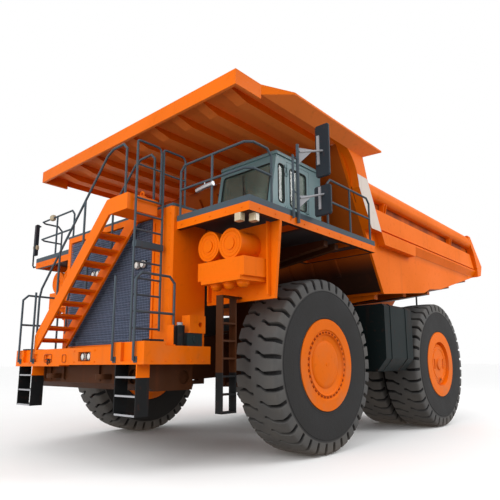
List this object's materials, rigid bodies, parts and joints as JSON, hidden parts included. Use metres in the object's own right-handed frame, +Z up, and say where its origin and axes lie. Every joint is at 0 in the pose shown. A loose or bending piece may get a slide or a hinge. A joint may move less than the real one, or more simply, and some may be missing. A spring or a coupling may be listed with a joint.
{
  "type": "mining dump truck",
  "caption": "Rigid-frame mining dump truck with a canopied dump bed, offset cab, front stair, twin rear tyres and working steering, hoist and door.",
  "frame": {"origin": "on the ground under the middle of the truck's box", "axes": "+Z up, the truck faces -Y, +X is its left side, with the cab"},
  "size_m": [8.12, 13.69, 6.74],
  "materials": {
    "black_paint": "satin",
    "cab_paint": "satin",
    "chrome_rod": "polished",
    "console_plastic": "matte",
    "engine_iron": "matte",
    "frame_paint": "satin",
    "glass": "gloss",
    "grille_paint": "satin",
    "lamp": "gloss",
    "mirror_shell": "satin",
    "orange_paint": "gloss",
    "seat_fabric": "matte",
    "slate_paint": "satin",
    "tyre": "matte"
  },
  "bodies": {
    "chassis": {"main_frame": "frame_paint", "front_box": "frame_paint", "deck_tower": "frame_paint", "front_bumper": "orange_paint", "front_ladders": "black_paint", "side_ladder": "black_paint", "wing_equipment": "orange_paint", "grab_rails": "slate_paint", "radiator_housing": "orange_paint", "radiator_grille": "grille_paint", "engine_block": "engine_iron", "stairway": "orange_paint", "stair_rails": "slate_paint", "upright_ladder": "slate_paint", "side_decks": "orange_paint", "centre_deck": "orange_paint", "deck_rails_left": "slate_paint", "deck_rails_right": "slate_paint", "air_cleaners": "orange_paint", "cab_floor": "cab_paint", "cab_front": "cab_paint", "cab_rear": "cab_paint", "cab_side_left": "cab_paint", "cab_side_right": "cab_paint", "cab_roof": "cab_paint", "cab_glass": "glass", "operator_seat": "seat_fabric", "steering_console": "console_plastic", "mirrors": "mirror_shell", "lamps": "lamp", "control_cabinet": "orange_paint", "fuel_tank": "black_paint", "oil_tank": "black_paint", "rear_axle": "frame_paint", "suspension_struts": "frame_paint"},
    "bed": {"bed_floor": "orange_paint", "bed_stringers": "orange_paint", "bed_sides": "orange_paint", "bed_headboard": "orange_paint", "bed_canopy": "orange_paint"},
    "door": {"cab_door": "cab_paint", "door_glass": "glass"},
    "knuckle_left": {"knuckle_left": "frame_paint"},
    "knuckle_right": {"knuckle_right": "frame_paint"},
    "tie_rod": {"tie_rod": "frame_paint"},
    "wheel_front_left": {"rim_front_left": "orange_paint", "tyre_front_left": "tyre"},
    "wheel_front_right": {"rim_front_right": "orange_paint", "tyre_front_right": "tyre"},
    "wheel_rear_left": {"rims_rear_left": "orange_paint", "tyres_rear_left": "tyre"},
    "wheel_rear_right": {"rims_rear_right": "orange_paint", "tyres_rear_right": "tyre"},
    "hoist_barrel_left": {"hoist_barrel_left": "black_paint"},
    "hoist_stage_left": {"hoist_stage_left": "chrome_rod"},
    "hoist_rod_left": {"hoist_rod_left": "chrome_rod"},
    "hoist_barrel_right": {"hoist_barrel_right": "black_paint"},
    "hoist_stage_right": {"hoist_stage_right": "chrome_rod"},
    "hoist_rod_right": {"hoist_rod_right": "chrome_rod"}
  },
  "joints": [
    {"name": "steer_left", "type": "hinge", "parent": "chassis", "child": "knuckle_left", "pos_m": [2.15, -3.115, 1.725], "axis": [0, 0, 1], "range_deg": [-32, 32]},
    {"name": "steer_right", "type": "hinge", "parent": "chassis", "child": "knuckle_right", "pos_m": [-2.15, -3.115, 1.725], "axis": [0, 0, 1], "range_deg": [-33, 33]},
    {"name": "tie_rod_pivot", "type": "hinge", "parent": "knuckle_left", "child": "tie_rod", "pos_m": [2.15, -2.395, 1.45], "axis": [0, 0, 1], "range_deg": [-33, 33]},
    {"name": "spin_front_left", "type": "hinge", "parent": "knuckle_left", "child": "wheel_front_left", "pos_m": [2.87, -3.115, 1.725], "axis": [1, 0, 0], "continuous": true},
    {"name": "spin_front_right", "type": "hinge", "parent": "knuckle_right", "child": "wheel_front_right", "pos_m": [-2.87, -3.115, 1.725], "axis": [1, 0, 0], "continuous": true},
    {"name": "spin_rear_left", "type": "hinge", "parent": "chassis", "child": "wheel_rear_left", "pos_m": [2.91, 2.685, 1.725], "axis": [1, 0, 0], "continuous": true},
    {"name": "spin_rear_right", "type": "hinge", "parent": "chassis", "child": "wheel_rear_right", "pos_m": [-2.91, 2.685, 1.725], "axis": [1, 0, 0], "continuous": true},
    {"name": "bed_hoist", "type": "hinge", "parent": "chassis", "child": "bed", "pos_m": [0, 4.085, 3.2], "axis": [-1, 0, 0], "range_deg": [0, 45]},
    {"name": "cab_door_hinge", "type": "hinge", "parent": "chassis", "child": "door", "pos_m": [2.865, -3.729, 5.275], "axis": [0, 0, -1], "range_deg": [0, 70]},
    {"name": "hoist_swing_left", "type": "hinge", "parent": "chassis", "child": "hoist_barrel_left", "pos_m": [1.15, 0.975, 1.55], "axis": [1, 0, 0], "range_deg": [-0.5, 3]},
    {"name": "hoist_stage_slide_left", "type": "slide", "parent": "hoist_barrel_left", "child": "hoist_stage_left", "axis": [0, 0.4056, 0.914], "range_m": [0, 0.9202]},
    {"name": "hoist_rod_slide_left", "type": "slide", "parent": "hoist_stage_left", "child": "hoist_rod_left", "axis": [0, 0.4056, 0.914], "range_m": [0, 0.9202]},
    {"name": "hoist_swing_right", "type": "hinge", "parent": "chassis", "child": "hoist_barrel_right", "pos_m": [-1.15, 0.975, 1.55], "axis": [1, 0, 0], "range_deg": [-0.5, 3]},
    {"name": "hoist_stage_slide_right", "type": "slide", "parent": "hoist_barrel_right", "child": "hoist_stage_right", "axis": [0, 0.4056, 0.914], "range_m": [0, 0.9202]},
    {"name": "hoist_rod_slide_right", "type": "slide", "parent": "hoist_stage_right", "child": "hoist_rod_right", "axis": [0, 0.4056, 0.914], "range_m": [0, 0.9202]}
  ],
  "couplings": [
    {"joint": "steer_right", "follows": "steer_left", "ratio": 1},
    {"joint": "tie_rod_pivot", "follows": "steer_left", "ratio": -1},
    {"joint": "hoist_swing_left", "follows": "bed_hoist", "ratio": 0.029847},
    {"joint": "hoist_stage_slide_left", "follows": "bed_hoist", "m_per_rad": 1.1691},
    {"joint": "hoist_rod_slide_left", "follows": "bed_hoist", "m_per_rad": 1.1691},
    {"joint": "hoist_swing_right", "follows": "bed_hoist", "ratio": 0.029847},
    {"joint": "hoist_stage_slide_right", "follows": "bed_hoist", "m_per_rad": 1.1691},
    {"joint": "hoist_rod_slide_right", "follows": "bed_hoist", "m_per_rad": 1.1691}
  ]
}
